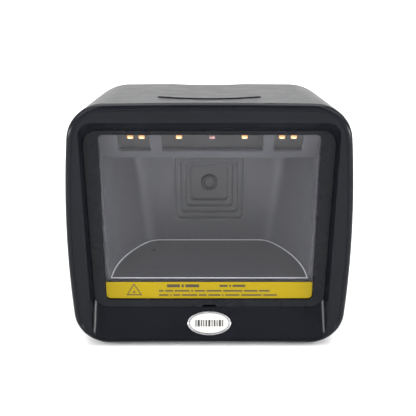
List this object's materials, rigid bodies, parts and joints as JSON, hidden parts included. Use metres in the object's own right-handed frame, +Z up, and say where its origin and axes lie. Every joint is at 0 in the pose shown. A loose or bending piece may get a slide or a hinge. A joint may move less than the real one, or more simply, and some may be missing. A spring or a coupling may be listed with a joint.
{
  "type": "desktop barcode scanner",
  "caption": "Desktop presentation barcode scanner: rounded case, recessed scan window, hooded lamps, square camera funnel, top key and rear lead socket.",
  "frame": {"origin": "on the table under the middle of the scanner", "axes": "+X to the right of someone facing the window, +Y from the window to the back, +Z up"},
  "size_m": [0.1518, 0.092, 0.1405],
  "materials": {
    "bezel_plastic": "satin moulded plastic, near black",
    "shell_plastic": "fine spark-textured black plastic",
    "key_plastic": "satin black plastic",
    "frame_plastic": "semi-gloss black plastic",
    "base_steel": "black powder-coated steel",
    "screw_steel": "zinc-plated steel",
    "foot_rubber": "black moulded rubber",
    "blank_label": "blank silver-grey label",
    "ballast_iron": "raw pressed iron",
    "window_glass": "clear polished glass",
    "gasket_foam": "closed-cell black foam",
    "strip_film": "yellow printed film",
    "badge_chrome": "bright plated rim",
    "badge_enamel": "white domed resin",
    "switch_plastic": "black plastic",
    "spring_steel": "bright spring wire",
    "circuit_board": "green solder mask",
    "wire_sleeve": "black sleeving",
    "shroud_plastic": "satin mid-grey plastic",
    "floor_plastic": "satin grey plastic",
    "baffle_plastic": "stepped matt grey plastic",
    "lens_metal": "black anodised aluminium",
    "lens_glass": "coated lens glass",
    "holder_plastic": "black plastic",
    "sensor_glass": "sensor cover glass",
    "ribbon_film": "amber polyimide film",
    "lamp_board": "black solder mask",
    "lamp_resin": "cream phosphor resin",
    "sensor_resin": "dark red resin",
    "chip_resin": "black moulding resin",
    "can_aluminium": "bright aluminium cans",
    "plug_plastic": "ivory nylon",
    "socket_plastic": "black nylon",
    "contact_gold": "gold-plated spring contacts"
  },
  "bodies": {
    "case": {"front_bezel": "bezel_plastic", "rear_housing": "shell_plastic", "rear_cover": "shell_plastic", "base_plate": "base_steel", "base_screws": "screw_steel", "rubber_feet": "foot_rubber", "rating_label": "blank_label", "ballast_weight": "ballast_iron", "weight_screws": "screw_steel", "housing_screws": "screw_steel", "window_frame": "frame_plastic", "scan_window": "window_glass", "window_gasket": "gasket_foam", "caution_strip": "strip_film", "badge_rim": "badge_chrome", "badge_plate": "badge_enamel", "key_springs": "spring_steel", "key_switch": "switch_plastic", "key_board": "circuit_board", "key_board_screws": "screw_steel", "key_harness": "wire_sleeve", "light_shroud": "shroud_plastic", "shroud_floor": "floor_plastic", "shroud_screws": "screw_steel", "camera_baffle": "baffle_plastic", "baffle_screws": "screw_steel", "lens_barrel": "lens_metal", "lens_glass": "lens_glass", "lens_holder": "holder_plastic", "image_sensor": "sensor_glass", "sensor_board": "circuit_board", "camera_screws": "screw_steel", "camera_ribbon": "ribbon_film", "led_board_left": "lamp_board", "led_board_centre": "lamp_board", "led_board_right": "lamp_board", "illumination_leds": "lamp_resin", "presence_sensor": "sensor_resin", "led_board_screws": "screw_steel", "led_harness": "wire_sleeve", "main_board": "circuit_board", "processor_chip": "chip_resin", "memory_chip": "chip_resin", "capacitors": "can_aluminium", "inductor": "chip_resin", "board_connectors": "plug_plastic", "board_screws": "screw_steel", "buzzer": "chip_resin", "cable_socket": "socket_plastic", "socket_contacts": "contact_gold"},
    "key": {"top_key": "key_plastic", "switch_plunger": "switch_plastic"}
  },
  "joints": [
    {"name": "key_press", "type": "slide", "parent": "case", "child": "key", "axis": [0, 0, -1], "range_m": [0, 0.001], "stiffness_N_per_m": 800, "springref_m": -0.002, "deforming": ["key_springs"]}
  ]
}
